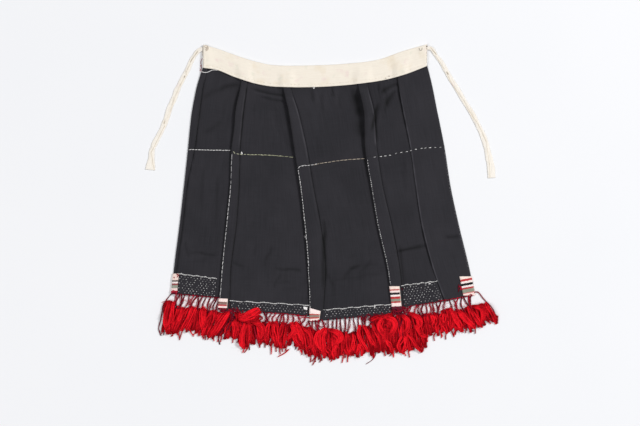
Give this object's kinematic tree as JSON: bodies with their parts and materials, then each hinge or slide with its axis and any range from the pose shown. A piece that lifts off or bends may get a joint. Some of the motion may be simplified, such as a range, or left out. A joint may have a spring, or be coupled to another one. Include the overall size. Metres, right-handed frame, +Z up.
{
  "type": "waist apron",
  "caption": "Pleated black cotton waist apron laid flat, with a cream waistband and ties, dot-stitched hem bands, striped woven tabs and a netted red wool tassel fringe.",
  "frame": {"origin": "middle of the part's box, on the surface that the apron lies on", "axes": "+X to the right of the laid apron, +Y towards the waistband, +Z up off the surface"},
  "size_m": [0.6105, 0.55, 0.0062],
  "materials": {
    "black_cotton": "matt plain-weave black cotton",
    "cream_cotton": "matt undyed cotton",
    "striped_weave": "matt hand-woven stripes of white, red, black and grey",
    "plum_string": "matt twisted string",
    "red_wool": "soft matt wool yarn"
  },
  "bodies": {
    "root": {"cloth_upper": "black_cotton", "cloth_lower": "black_cotton", "waistband": "cream_cotton", "tie_left": "cream_cotton", "tie_right": "cream_cotton", "hem_band_1": "black_cotton", "hem_band_2": "black_cotton", "hem_band_3": "black_cotton", "hem_band_4": "black_cotton", "tab_1": "striped_weave", "tab_2": "striped_weave", "tab_3": "striped_weave", "tab_4": "striped_weave", "tab_5": "striped_weave", "net_1": "plum_string", "net_2": "plum_string", "net_3": "plum_string", "net_4": "plum_string", "net_5": "plum_string", "tassel_01": "red_wool", "tassel_02": "red_wool", "tassel_03": "red_wool", "tassel_04": "red_wool", "tassel_05": "red_wool", "tassel_06": "red_wool", "tassel_07": "red_wool", "tassel_08": "red_wool", "tassel_09": "red_wool", "tassel_10": "red_wool", "tassel_11": "red_wool", "tassel_12": "red_wool", "tassel_13": "red_wool", "tassel_14": "red_wool", "tassel_15": "red_wool", "tassel_16": "red_wool", "tassel_17": "red_wool", "tassel_18": "red_wool", "tassel_19": "red_wool", "tassel_20": "red_wool", "tassel_21": "red_wool", "tassel_22": "red_wool", "tassel_23": "red_wool", "tassel_24": "red_wool", "tassel_25": "red_wool", "tassel_26": "red_wool", "tassel_27": "red_wool", "tassel_28": "red_wool"}
  },
  "joints": []
}
